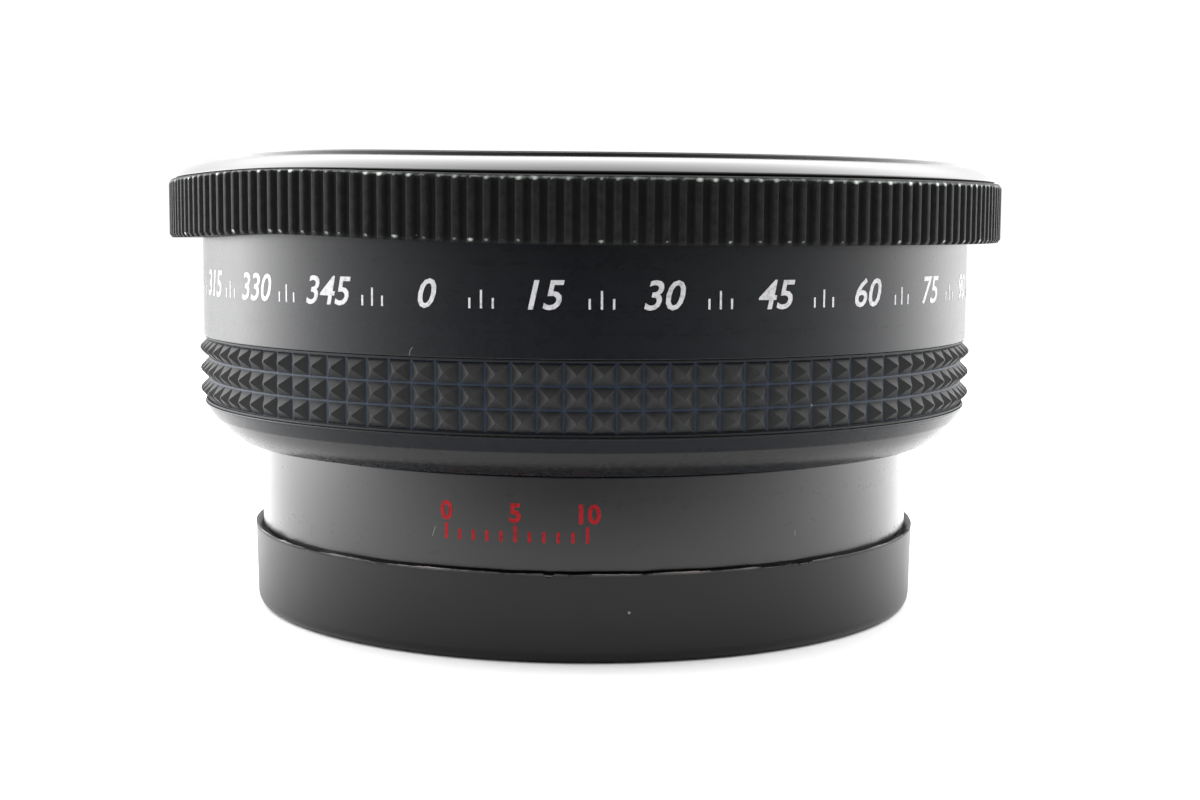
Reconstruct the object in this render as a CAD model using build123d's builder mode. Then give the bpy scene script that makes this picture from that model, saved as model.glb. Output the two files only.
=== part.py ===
from build123d import *

import math
import os

# Wide-angle conversion lens with a screw-on macro section, standing front up on its rear cap.
# Millimetres, +Z along the optical axis towards the front, origin at the centre of the cap's base.

# The thread that the lens is made to fit, and the steps from it out to the other outside surfaces
rear_thread_diameter = 58.0
rear_land_step = 0.55
shoulder_step = 0.45
bevel_foot_step = 2.0
bevel_run = 3.1
grip_border_stand = 0.1
grip_tip_stand = 0.375
knurl_stand = 2.9

# Heights of the bands that are stacked up the outside
cap_height = 7.35
macro_band_height = 7.6
washer_thickness = 0.3
bevel_height = 3.35
grip_width = 5.95
smooth_band_height = 8.65
knurl_height = 5.0
crown_height = 1.7
rim_stand = 0.3

# Clearances
thread_clearance = 0.05
seat_clearance = 0.1
surface_gap = 0.02

# Rear cap
cap_floor = 1.6
cap_edge_radius = 0.8
cap_grip_clearance = 0.05
cap_skirt_wall = 1.075
cap_draft = 0.175

# Macro section
rear_land_height = 1.15
rear_thread_length = 2.9
rear_tube_wall = 4.9
joint_shoulder_width = 2.0
joint_thread_length = 3.35
joint_tube_wall = 1.75
macro_ledge_depth = 1.95
macro_ledge_lip = 1.4
macro_ledge_land = 0.6
macro_lens_edge = 5.5
macro_lens_dome = 4.4
macro_lens_rim = 1.5
lens_washer_thickness = 0.3
lens_washer_width = 1.3
retaining_ring_height = 1.5
retaining_ring_width = 2.2
spanner_slot_width = 1.6
spanner_slot_depth = 0.8

# Slip washer between the two sections
washer_bore_clearance = 0.35
washer_edge_inset = 0.2

# Barrel of the wide section
barrel_wall = 4.1
bevel_break_height = 1.3
bevel_break_inset = 0.8
bevel_bulge = 0.22
bevel_land = 0.15
grip_seat_depth = 1.0
joint_bore_depth = 5.05
neck_height = 2.8
neck_inset = 0.8
neck_wall = 2.0

# Cell of the second lens
cell_gap = 1.0
cell_flange = 1.7
cell_drop = 3.1
cell_collar = 2.0
cell_wall = 2.1
cell_ledge_depth = 1.3
cell_ledge_lip = 1.6
cell_ledge_land = 0.5
second_lens_edge = 3.5
second_lens_hollow = 2.0
second_lens_rim = 3.0

# Front lens group
front_lens_edge = 6.0
front_lens_dome = 5.15
front_lens_centre = 2.45
front_lens_hollow_rim = 4.9
spacer_wall = 3.4
light_stop_thickness = 0.3
light_stop_clearance = 0.2
gasket_thickness = 0.55
gasket_width = 1.6

# Filter ring and trim ring
filter_wall = 1.65
filter_collar_overlap = 0.7
filter_thread_depth = 3.3
vertex_below_thread = 0.1
filter_cone_inset = 1.7
filter_flange = 0.83
trim_thickness = 0.3
trim_outer_inset = 0.4
trim_inner_inset = 2.0

# Knurled front ring
knurl_teeth = 196
knurl_groove_depth = 0.35
knurl_groove_share = 0.6
knurl_groove_floor_share = 0.34
knurl_foot_chamfer = 0.3
crown_flat_width = 2.4
crown_flat_drop = 0.3
crown_bulge = 0.27

# Rubber grip
grip_columns = 108
grip_rows = 3
grip_border = 0.22
grip_pyramid_depth = 0.72

# Radii of the outside, stepped out from the rear thread
rear_thread_radius = rear_thread_diameter / 2
rear_land_radius = rear_thread_radius + rear_land_step
macro_radius = rear_land_radius + shoulder_step
bevel_foot_radius = macro_radius + bevel_foot_step
barrel_radius = bevel_foot_radius + bevel_run
knurl_radius = barrel_radius + knurl_stand

# Radii of the threads and bores, each a wall or a clearance in from the surface outside it
macro_bore_radius = rear_thread_radius - rear_tube_wall
joint_thread_radius = macro_radius - joint_shoulder_width
joint_male_radius = joint_thread_radius - thread_clearance
joint_tube_bore = joint_male_radius - joint_tube_wall
cell_radius = joint_tube_bore - cell_gap
cell_bore_radius = cell_radius - cell_wall
lens_bore_radius = barrel_radius - barrel_wall
neck_radius = barrel_radius - neck_inset
neck_bore_radius = neck_radius - neck_wall
filter_male_radius = neck_bore_radius - thread_clearance
filter_bore_radius = filter_male_radius - filter_wall
filter_rim_radius = neck_bore_radius + filter_collar_overlap

# Levels up the axis
shoulder_z = cap_height
macro_top_z = shoulder_z + macro_band_height
wide_foot_z = macro_top_z + washer_thickness
grip_low_z = wide_foot_z + bevel_height
grip_high_z = grip_low_z + grip_width
knurl_low_z = grip_high_z + smooth_band_height
knurl_high_z = knurl_low_z + knurl_height
crown_z = knurl_high_z + crown_height
rim_z = crown_z + rim_stand
rear_thread_top_z = shoulder_z - rear_land_height
macro_rear_z = rear_thread_top_z - rear_thread_length
neck_top_z = knurl_low_z + neck_height
cell_seat_z = wide_foot_z + joint_bore_depth


def curve_of(rim_radius, depth):
    """Radius of the sphere that is that deep from its vertex to a rim of that radius."""
    return (rim_radius**2 + depth**2) / (2 * depth)


def sag(curve, radius):
    """Depth of a spherical surface of that curve between its vertex and that radius."""
    return curve - math.sqrt(curve**2 - radius**2)


def sphere_point(curve, vertex_z, radius):
    """Point at that radius on a lens surface that falls away from its vertex, in the XZ plane."""
    return (radius, vertex_z - sag(curve, radius))


def polar(radius, degrees):
    """Point of the XY plane at that radius and angle."""
    return (radius * math.cos(math.radians(degrees)), radius * math.sin(math.radians(degrees)))


def bulged_middle(start, end, bulge):
    """Point over the middle of the line from start to end, moved to its right by the bulge."""
    run, rise = end[0] - start[0], end[1] - start[1]
    length = math.hypot(run, rise)
    return (
        (start[0] + end[0]) / 2 + bulge * rise / length,
        (start[1] + end[1]) / 2 - bulge * run / length,
    )


os.makedirs("parts", exist_ok=True)

# Rear cap: a moulded push-on cap, a floor and a thin skirt that grips the plain land behind the shoulder
cap_bore_radius = rear_land_radius + cap_grip_clearance
cap_rim_radius = cap_bore_radius + cap_skirt_wall
with BuildPart() as rear_cap:
    with BuildSketch(Plane.XZ):
        with BuildLine():
            Polyline(
                (0, 0),
                (cap_rim_radius - cap_draft, 0),
                (cap_rim_radius, cap_height),
                (cap_bore_radius, cap_height),
                (cap_bore_radius, cap_floor),
                (0, cap_floor),
                close=True,
            )
        make_face()
    revolve(axis=Axis.Z)
    base_edge = rear_cap.edges().filter_by(GeomType.CIRCLE).group_by(Axis.Z)[0]
    fillet(base_edge, cap_edge_radius)
rear_cap.part.label = "rear_cap"
export_step(rear_cap.part, "parts/rear_cap.step")

# Macro barrel: one turned tube, with the rear thread, the shoulder, the visible band and the front thread
macro_ledge_z = macro_top_z - macro_ledge_depth
joint_tube_top_z = macro_top_z + joint_thread_length
macro_ledge_radius = macro_bore_radius - macro_ledge_lip
with BuildPart() as macro_barrel:
    with BuildSketch(Plane.XZ):
        with BuildLine():
            Polyline(
                (macro_bore_radius, macro_rear_z),
                (rear_thread_radius, macro_rear_z),
                (rear_thread_radius, rear_thread_top_z),
                (rear_land_radius, rear_thread_top_z),
                (rear_land_radius, shoulder_z),
                (macro_radius, shoulder_z),
                (macro_radius, macro_top_z),
                (joint_male_radius, macro_top_z),
                (joint_male_radius, joint_tube_top_z),
                (joint_tube_bore, joint_tube_top_z),
                (joint_tube_bore, macro_top_z),
                (macro_ledge_radius, macro_ledge_z + macro_ledge_land),
                (macro_ledge_radius, macro_ledge_z),
                (macro_bore_radius, macro_ledge_z),
                close=True,
            )
        make_face()
    revolve(axis=Axis.Z)
macro_barrel.part.label = "macro_barrel"
export_step(macro_barrel.part, "parts/macro_barrel.step")

# Washer between the macro lens and its ledge
macro_lens_radius = macro_bore_radius - seat_clearance
macro_lens_front_z = macro_ledge_z - lens_washer_thickness
with BuildPart() as macro_lens_washer:
    with BuildSketch(Plane.XY.offset(macro_lens_front_z)):
        Circle(macro_lens_radius)
        Circle(macro_lens_radius - lens_washer_width, mode=Mode.SUBTRACT)
    extrude(amount=lens_washer_thickness)
macro_lens_washer.part.label = "macro_lens_washer"
export_step(macro_lens_washer.part, "parts/macro_lens_washer.step")

# Macro lens: a plano-convex glass, its domed side towards the wide section
macro_lens_rear_z = macro_lens_front_z - macro_lens_edge
macro_dome_radius = macro_lens_radius - macro_lens_rim
macro_lens_curve = curve_of(macro_dome_radius, macro_lens_dome)
macro_vertex_z = macro_lens_front_z + macro_lens_dome
with BuildPart() as macro_lens:
    with BuildSketch(Plane.XZ):
        with BuildLine():
            Polyline(
                (0, macro_vertex_z),
                (0, macro_lens_rear_z),
                (macro_lens_radius, macro_lens_rear_z),
                (macro_lens_radius, macro_lens_front_z),
                (macro_dome_radius, macro_lens_front_z),
            )
            ThreePointArc(
                (macro_dome_radius, macro_lens_front_z),
                sphere_point(macro_lens_curve, macro_vertex_z, macro_dome_radius / 2),
                (0, macro_vertex_z),
            )
        make_face()
    revolve(axis=Axis.Z)
macro_lens.part.label = "macro_lens"
export_step(macro_lens.part, "parts/macro_lens.step")

# Threaded ring behind the macro lens, with two spanner slots
macro_ring_radius = macro_bore_radius - thread_clearance
with BuildPart() as macro_retaining_ring:
    with BuildSketch(Plane.XY.offset(macro_lens_rear_z)):
        Circle(macro_ring_radius)
        Circle(macro_ring_radius - retaining_ring_width, mode=Mode.SUBTRACT)
    extrude(amount=-retaining_ring_height)
    with BuildSketch(Plane.XY.offset(macro_lens_rear_z - retaining_ring_height)):
        Rectangle(2 * macro_ring_radius, spanner_slot_width)
    extrude(amount=spanner_slot_depth, mode=Mode.SUBTRACT)
macro_retaining_ring.part.label = "macro_retaining_ring"
export_step(macro_retaining_ring.part, "parts/macro_retaining_ring.step")

# Slip washer that keeps the two screwed sections from jamming
washer_bore_radius = joint_male_radius + washer_bore_clearance
with BuildPart() as section_washer:
    with BuildSketch(Plane.XY.offset(macro_top_z)):
        Circle(macro_radius - washer_edge_inset)
        Circle(washer_bore_radius, mode=Mode.SUBTRACT)
    extrude(amount=washer_thickness)
section_washer.part.label = "section_washer"
export_step(section_washer.part, "parts/section_washer.step")

# Barrel of the wide section: one turned shell with a rounded double bevel, a seat for the grip and a front neck
grip_seat_radius = barrel_radius - grip_seat_depth
front_lens_radius = lens_bore_radius - seat_clearance
front_lens_curve = curve_of(front_lens_radius, front_lens_dome)
front_vertex_z = rim_z - filter_thread_depth - vertex_below_thread
gasket_radius = front_lens_radius - seat_clearance
gasket_bore_radius = gasket_radius - gasket_width
gasket_bore_z = front_vertex_z - sag(front_lens_curve, gasket_bore_radius) + surface_gap
filter_flange_z = gasket_bore_z + gasket_thickness
neck_bore_z = filter_flange_z - gasket_thickness
bevel_foot = (bevel_foot_radius, wide_foot_z)
bevel_break = (barrel_radius - bevel_break_inset, grip_low_z - bevel_break_height)
with BuildPart() as wide_barrel:
    with BuildSketch(Plane.XZ):
        with BuildLine():
            Polyline(
                bevel_break,
                (barrel_radius, grip_low_z - bevel_land),
                (barrel_radius, grip_low_z),
                (grip_seat_radius, grip_low_z),
                (grip_seat_radius, grip_high_z),
                (barrel_radius, grip_high_z),
                (barrel_radius, knurl_low_z),
                (neck_radius, knurl_low_z),
                (neck_radius, neck_top_z),
                (neck_bore_radius, neck_top_z),
                (neck_bore_radius, neck_bore_z),
                (lens_bore_radius, neck_bore_z),
                (lens_bore_radius, cell_seat_z),
                (joint_thread_radius, cell_seat_z),
                (joint_thread_radius, wide_foot_z),
                bevel_foot,
            )
            ThreePointArc(
                bevel_foot,
                bulged_middle(bevel_foot, bevel_break, bevel_bulge),
                bevel_break,
            )
        make_face()
    revolve(axis=Axis.Z)
wide_barrel.part.label = "wide_barrel"
export_step(wide_barrel.part, "parts/wide_barrel.step")

# Rubber grip: a moulded sleeve with rows of square pyramids between two plain borders.
# A prism with a notched outline gives the columns, and a notched turned profile cuts it into rows.
grip_tip_radius = barrel_radius + grip_tip_stand
grip_valley_radius = grip_tip_radius - grip_pyramid_depth
grip_bore_radius = grip_seat_radius + surface_gap
grip_rows_low_z = grip_low_z + grip_border
grip_row_height = (grip_width - 2 * grip_border) / grip_rows
column_angle = 360 / grip_columns
grip_outline = [
    polar(grip_tip_radius if step % 2 else grip_valley_radius, step * column_angle / 2)
    for step in range(2 * grip_columns)
]
grip_profile = [
    (grip_tip_radius if step % 2 else grip_valley_radius, grip_rows_low_z + step * grip_row_height / 2)
    for step in range(2 * grip_rows + 1)
]
with BuildPart() as grip_ring:
    with BuildSketch(Plane.XY.offset(grip_rows_low_z)):
        with BuildLine():
            Polyline(*grip_outline, close=True)
        make_face()
    extrude(amount=grip_row_height * grip_rows)
    with BuildSketch(Plane.XZ):
        with BuildLine():
            Polyline(
                (grip_bore_radius, grip_rows_low_z),
                *grip_profile,
                (grip_bore_radius, grip_rows_low_z + grip_row_height * grip_rows),
                close=True,
            )
        make_face()
    revolve(axis=Axis.Z, mode=Mode.INTERSECT)
    for border_z in (grip_low_z, grip_high_z - grip_border):
        with BuildSketch(Plane.XY.offset(border_z)):
            Circle(barrel_radius + grip_border_stand)
            Circle(grip_bore_radius, mode=Mode.SUBTRACT)
        extrude(amount=grip_border)
grip_ring.part.label = "grip_ring"
export_step(grip_ring.part, "parts/grip_ring.step")

# Cell of the second lens: a turned flange and collar that drops into the barrel from the front
cell_low_z = cell_seat_z - cell_drop
cell_flange_z = cell_seat_z + cell_flange
cell_top_z = cell_flange_z + cell_collar
cell_ledge_z = cell_top_z - cell_ledge_depth
cell_ledge_radius = cell_bore_radius - cell_ledge_lip
cell_mouth_radius = cell_radius - cell_ledge_lip
with BuildPart() as inner_cell:
    with BuildSketch(Plane.XZ):
        with BuildLine():
            Polyline(
                (cell_bore_radius, cell_low_z),
                (cell_radius, cell_low_z),
                (cell_radius, cell_seat_z),
                (front_lens_radius, cell_seat_z),
                (front_lens_radius, cell_flange_z),
                (cell_radius, cell_flange_z),
                (cell_radius, cell_top_z),
                (cell_mouth_radius, cell_top_z),
                (cell_ledge_radius, cell_ledge_z + cell_ledge_land),
                (cell_ledge_radius, cell_ledge_z),
                (cell_bore_radius, cell_ledge_z),
                close=True,
            )
        make_face()
    revolve(axis=Axis.Z)
inner_cell.part.label = "inner_cell"
export_step(inner_cell.part, "parts/inner_cell.step")

# Washer between the second lens and the cell's ledge
second_lens_radius = cell_bore_radius - seat_clearance
second_lens_front_z = cell_ledge_z - lens_washer_thickness
with BuildPart() as second_lens_washer:
    with BuildSketch(Plane.XY.offset(second_lens_front_z)):
        Circle(second_lens_radius)
        Circle(second_lens_radius - lens_washer_width, mode=Mode.SUBTRACT)
    extrude(amount=lens_washer_thickness)
second_lens_washer.part.label = "second_lens_washer"
export_step(second_lens_washer.part, "parts/second_lens_washer.step")

# Second lens: a plano-concave glass, hollow side to the rear
second_lens_rear_z = second_lens_front_z - second_lens_edge
second_hollow_radius = second_lens_radius - second_lens_rim
second_lens_curve = curve_of(second_hollow_radius, second_lens_hollow)
second_vertex_z = second_lens_rear_z + second_lens_hollow
with BuildPart() as second_lens:
    with BuildSketch(Plane.XZ):
        with BuildLine():
            Polyline(
                (0, second_vertex_z),
                (0, second_lens_front_z),
                (second_lens_radius, second_lens_front_z),
                (second_lens_radius, second_lens_rear_z),
                (second_hollow_radius, second_lens_rear_z),
            )
            ThreePointArc(
                (second_hollow_radius, second_lens_rear_z),
                sphere_point(second_lens_curve, second_vertex_z, second_hollow_radius / 2),
                (0, second_vertex_z),
            )
        make_face()
    revolve(axis=Axis.Z)
second_lens.part.label = "second_lens"
export_step(second_lens.part, "parts/second_lens.step")

# Threaded ring behind the second lens, with two spanner slots
second_ring_radius = cell_bore_radius - thread_clearance
with BuildPart() as second_retaining_ring:
    with BuildSketch(Plane.XY.offset(second_lens_rear_z)):
        Circle(second_ring_radius)
        Circle(second_ring_radius - retaining_ring_width, mode=Mode.SUBTRACT)
    extrude(amount=-retaining_ring_height)
    with BuildSketch(Plane.XY.offset(second_lens_rear_z - retaining_ring_height)):
        Rectangle(2 * second_ring_radius, spanner_slot_width)
    extrude(amount=spanner_slot_depth, mode=Mode.SUBTRACT)
second_retaining_ring.part.label = "second_retaining_ring"
export_step(second_retaining_ring.part, "parts/second_retaining_ring.step")

# Spacer tube that holds the front lens off the cell
front_edge_z = front_vertex_z - front_lens_dome
front_rear_z = front_edge_z - front_lens_edge
light_stop_z = front_rear_z - light_stop_thickness
with BuildPart() as lens_spacer:
    with BuildSketch(Plane.XY.offset(cell_flange_z)):
        Circle(front_lens_radius)
        Circle(front_lens_radius - spacer_wall, mode=Mode.SUBTRACT)
    extrude(amount=light_stop_z - cell_flange_z)
lens_spacer.part.label = "lens_spacer"
export_step(lens_spacer.part, "parts/lens_spacer.step")

# Light stop: a blackened sheet ring that masks the edge of the front lens and clears the cell's collar
with BuildPart() as light_stop:
    with BuildSketch(Plane.XY.offset(light_stop_z)):
        Circle(front_lens_radius)
        Circle(cell_radius + light_stop_clearance, mode=Mode.SUBTRACT)
    extrude(amount=light_stop_thickness)
light_stop.part.label = "light_stop"
export_step(light_stop.part, "parts/light_stop.step")

# Front lens: a large negative meniscus, domed to the front and deeply hollow behind
front_hollow_radius = front_lens_radius - front_lens_hollow_rim
front_hollow_z = front_vertex_z - front_lens_centre
front_hollow_curve = curve_of(front_hollow_radius, front_hollow_z - front_rear_z)
with BuildPart() as front_lens:
    with BuildSketch(Plane.XZ):
        with BuildLine():
            ThreePointArc(
                (0, front_vertex_z),
                sphere_point(front_lens_curve, front_vertex_z, front_lens_radius / 2),
                (front_lens_radius, front_edge_z),
            )
            Polyline(
                (front_lens_radius, front_edge_z),
                (front_lens_radius, front_rear_z),
                (front_hollow_radius, front_rear_z),
            )
            ThreePointArc(
                (front_hollow_radius, front_rear_z),
                sphere_point(front_hollow_curve, front_hollow_z, front_hollow_radius / 2),
                (0, front_hollow_z),
            )
            Line((0, front_hollow_z), (0, front_vertex_z))
        make_face()
    revolve(axis=Axis.Z)
front_lens.part.label = "front_lens"
export_step(front_lens.part, "parts/front_lens.step")

# Gasket on the rim of the front lens, its underside cut to the slope of the glass
gasket_edge_z = front_vertex_z - sag(front_lens_curve, gasket_radius) + surface_gap
with BuildPart() as front_lens_gasket:
    with BuildSketch(Plane.XZ):
        with BuildLine():
            Polyline(
                (gasket_bore_radius, gasket_bore_z),
                (gasket_radius, gasket_edge_z),
                (gasket_radius, filter_flange_z),
                (gasket_bore_radius, filter_flange_z),
                close=True,
            )
        make_face()
    revolve(axis=Axis.Z)
front_lens_gasket.part.label = "front_lens_gasket"
export_step(front_lens_gasket.part, "parts/front_lens_gasket.step")

# Filter ring: screws into the neck, presses on the gasket and carries the front thread
filter_thread_z = rim_z - filter_thread_depth
filter_cone_radius = filter_bore_radius - filter_cone_inset
filter_cone_z = filter_flange_z + filter_flange
filter_collar_z = neck_top_z + thread_clearance
with BuildPart() as filter_ring:
    with BuildSketch(Plane.XZ):
        with BuildLine():
            Polyline(
                (filter_cone_radius, filter_flange_z),
                (filter_male_radius, filter_flange_z),
                (filter_male_radius, filter_collar_z),
                (filter_rim_radius, filter_collar_z),
                (filter_rim_radius, rim_z),
                (filter_bore_radius, rim_z),
                (filter_bore_radius, filter_thread_z),
                (filter_cone_radius, filter_cone_z),
                close=True,
            )
        make_face()
    revolve(axis=Axis.Z)
filter_ring.part.label = "filter_ring"
export_step(filter_ring.part, "parts/filter_ring.step")

# Trim ring: a thin black cone glued inside the filter ring, round the glass
cone_slope = (filter_thread_z - filter_cone_z) / filter_cone_inset
trim_rise = trim_thickness * math.hypot(1, cone_slope)
trim_outer_radius = filter_bore_radius - trim_outer_inset
trim_inner_radius = filter_bore_radius - trim_inner_inset
trim_outer_z = filter_thread_z - trim_outer_inset * cone_slope + surface_gap
trim_inner_z = filter_thread_z - trim_inner_inset * cone_slope + surface_gap
with BuildPart() as trim_ring:
    with BuildSketch(Plane.XZ):
        with BuildLine():
            Polyline(
                (trim_inner_radius, trim_inner_z),
                (trim_outer_radius, trim_outer_z),
                (trim_outer_radius, trim_outer_z + trim_rise),
                (trim_inner_radius, trim_inner_z + trim_rise),
                close=True,
            )
        make_face()
    revolve(axis=Axis.Z)
trim_ring.part.label = "trim_ring"
export_step(trim_ring.part, "parts/trim_ring.step")

# Front ring: turned aluminium, with straight flat-bottomed serrations round its edge and a rounded crown.
# A serrated prism is cut down by the turned profile, so the grooves run out through the crown.
tooth_angle = 360 / knurl_teeth
land_angle = tooth_angle * (1 - knurl_groove_share)
groove_wall_angle = tooth_angle * (knurl_groove_share - knurl_groove_floor_share) / 2
groove_radius = knurl_radius - knurl_groove_depth
knurl_outline = []
for tooth in range(knurl_teeth):
    land_start = tooth * tooth_angle
    land_end = land_start + land_angle
    next_land = land_start + tooth_angle
    knurl_outline.append(polar(knurl_radius, land_start))
    knurl_outline.append(polar(knurl_radius, land_end))
    knurl_outline.append(polar(groove_radius, land_end + groove_wall_angle))
    knurl_outline.append(polar(groove_radius, next_land - groove_wall_angle))
ring_bore_radius = filter_rim_radius + thread_clearance
ring_neck_radius = neck_radius + thread_clearance
crown_flat_end = (ring_bore_radius + crown_flat_width, crown_z - crown_flat_drop)
crown_edge = (knurl_radius, knurl_high_z)
with BuildPart() as front_ring:
    with BuildSketch(Plane.XY.offset(knurl_low_z)):
        with BuildLine():
            Polyline(*knurl_outline, close=True)
        make_face()
    extrude(amount=crown_z - knurl_low_z)
    with BuildSketch(Plane.XZ):
        with BuildLine():
            ThreePointArc(
                crown_edge,
                bulged_middle(crown_edge, crown_flat_end, crown_bulge),
                crown_flat_end,
            )
            Polyline(
                crown_flat_end,
                (ring_bore_radius, crown_z),
                (ring_bore_radius, filter_collar_z),
                (ring_neck_radius, filter_collar_z),
                (ring_neck_radius, knurl_low_z),
                (knurl_radius - knurl_foot_chamfer, knurl_low_z),
                (knurl_radius, knurl_low_z + knurl_foot_chamfer),
                crown_edge,
            )
        make_face()
    revolve(axis=Axis.Z, mode=Mode.INTERSECT)
front_ring.part.label = "front_ring"
export_step(front_ring.part, "parts/front_ring.step")
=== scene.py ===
"""Looks of a wide-angle conversion lens with a screw-on macro section, standing front up on its rear cap."""

import bmesh
import bpy
import numpy as np
from mathutils import Euler, Matrix


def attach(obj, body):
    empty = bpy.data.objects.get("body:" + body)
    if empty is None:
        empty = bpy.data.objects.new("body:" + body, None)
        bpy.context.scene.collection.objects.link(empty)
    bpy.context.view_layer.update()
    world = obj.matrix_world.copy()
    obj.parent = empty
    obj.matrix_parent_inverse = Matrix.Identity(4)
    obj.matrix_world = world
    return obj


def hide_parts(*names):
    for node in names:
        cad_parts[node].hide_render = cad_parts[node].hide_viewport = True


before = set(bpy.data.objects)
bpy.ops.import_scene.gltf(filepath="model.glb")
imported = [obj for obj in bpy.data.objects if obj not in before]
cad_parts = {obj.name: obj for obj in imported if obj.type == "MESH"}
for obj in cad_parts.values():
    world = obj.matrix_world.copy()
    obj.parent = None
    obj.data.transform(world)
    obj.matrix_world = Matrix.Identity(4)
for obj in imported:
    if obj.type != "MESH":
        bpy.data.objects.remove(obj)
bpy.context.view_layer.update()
mm = 0.001


# Rear cap
# A moulded push-on cap of matt black polypropylene that the lens stands on.
# Its skirt was trimmed by hand, so the rim is torn, with a pale ragged flash round it.
def grid_mesh(name, points, closed_rows=False, foot_pole=None, top_pole=None, smooth=True, ridges=None):
    """Mesh over a grid of points [row, column, xyz]: the columns always close round the axis,
    the rows close too where closed_rows says so, and a pole is a fan from one point to the first or last row.
    Where ridges gives a height at each point, each quad is cut in two along its higher diagonal."""
    rows, columns = points.shape[:2]
    index = np.arange(rows * columns).reshape(rows, columns)
    here = index if closed_rows else index[:-1]
    above = np.roll(index, -1, axis=0) if closed_rows else index[1:]
    quads = np.stack(
        [here, np.roll(here, -1, axis=1), np.roll(above, -1, axis=1), above], axis=-1
    ).reshape(-1, 4)
    vertices = points.reshape(-1, 3)
    triangles = np.empty((0, 3), int)
    if ridges is not None:
        lift = ridges.ravel()[quads]
        first_is_higher = lift[:, 0] + lift[:, 2] >= lift[:, 1] + lift[:, 3]
        split_quads = np.where(first_is_higher[:, None], quads, np.roll(quads, 1, axis=1))
        triangles = np.vstack([split_quads[:, [0, 1, 2]], split_quads[:, [0, 2, 3]]])
        quads = np.empty((0, 4), int)
    for pole, row, turned_over in ((foot_pole, index[0], True), (top_pole, index[-1], False)):
        if pole is not None:
            centre = np.full(columns, len(vertices))
            vertices = np.vstack([vertices, pole])
            following = np.roll(row, -1)
            fan = [centre, following, row] if turned_over else [centre, row, following]
            triangles = np.vstack([triangles, np.stack(fan, axis=-1)])
    mesh = bpy.data.meshes.new(name)
    mesh.vertices.add(len(vertices))
    mesh.vertices.foreach_set("co", vertices.ravel())
    corners = np.concatenate([quads.ravel(), triangles.ravel()])
    starts = np.concatenate(
        [np.arange(len(quads)) * 4, len(quads) * 4 + np.arange(len(triangles)) * 3]
    )
    mesh.loops.add(len(corners))
    mesh.loops.foreach_set("vertex_index", corners)
    mesh.polygons.add(len(starts))
    mesh.polygons.foreach_set("loop_start", starts)
    mesh.polygons.foreach_set("use_smooth", np.full(len(starts), smooth))
    mesh.update(calc_edges=True)
    return mesh


def eased(*corners, closed=True, steps=5, guard=0.06):
    """Outline of (radius, height) points in mm through corners (radius, height, edge radius). Each corner is
    the curve (1 - t)^2 start + 2 t (1 - t) corner + t^2 finish between its two sides, and a guard point near
    each end of a side keeps the flats flat."""
    points = np.array([corner[:2] for corner in corners], float)
    outline = []
    for at, corner in enumerate(corners):
        here, size = points[at], corner[2] if len(corner) > 2 else 0.0
        end = not closed and at in (0, len(corners) - 1)
        if end or size == 0:
            outline.append(here[None])
            continue
        back, ahead = points[at - 1] - here, points[(at + 1) % len(points)] - here
        reach = min(size, np.linalg.norm(back) / 2.5, np.linalg.norm(ahead) / 2.5)
        start = here + back / np.linalg.norm(back) * reach
        finish = here + ahead / np.linalg.norm(ahead) * reach
        before = start + back / np.linalg.norm(back) * min(guard, np.linalg.norm(back) / 10)
        after = finish + ahead / np.linalg.norm(ahead) * min(guard, np.linalg.norm(ahead) / 10)
        t = np.linspace(0, 1, steps)[:, None]
        curve = (1 - t) ** 2 * start + 2 * t * (1 - t) * here + t**2 * finish
        outline.append(np.vstack([before, curve, after]))
    return np.vstack(outline)


def turned(name, outline, columns=360):
    """Surface of revolution: each (radius, height) of the outline in mm goes to x = radius cos a,
    y = radius sin a and z = height for a from 0 to one turn. An outline that starts and ends on the axis
    closes at two poles."""
    angle = np.linspace(0, 2 * np.pi, columns, endpoint=False)
    on_axis = outline[0, 0] == 0
    ring = (outline[1:-1] if on_axis else outline) * mm
    points = np.stack(
        [
            ring[:, :1] * np.cos(angle),
            ring[:, :1] * np.sin(angle),
            np.repeat(ring[:, 1:], columns, axis=1),
        ],
        axis=-1,
    )
    if not on_axis:
        return grid_mesh(name, points, closed_rows=True)
    return grid_mesh(
        name,
        points,
        foot_pole=(0, 0, outline[0, 1] * mm),
        top_pole=(0, 0, outline[-1, 1] * mm),
    )


class Value:
    """A shader socket that turns a sum in Python into Math nodes."""

    def __init__(self, finish, socket):
        self.finish = finish
        self.socket = socket

    def math(self, operation, *values):
        return self.finish.node("ShaderNodeMath", {"operation": operation}, *values)

    def __add__(self, other):
        return self.math("ADD", self, other)

    __radd__ = __add__

    def __mul__(self, other):
        return self.math("MULTIPLY", self, other)

    __rmul__ = __mul__

    def __sub__(self, other):
        return self.math("SUBTRACT", self, other)

    def __rsub__(self, other):
        return self.math("SUBTRACT", other, self)

    def __truediv__(self, other):
        return self.math("DIVIDE", self, other)

    def __pow__(self, other):
        return self.math("POWER", self, other)

    def maximum(self, other):
        return self.math("MAXIMUM", self, other)

    def absolute(self):
        return self.math("ABSOLUTE", self)


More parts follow.
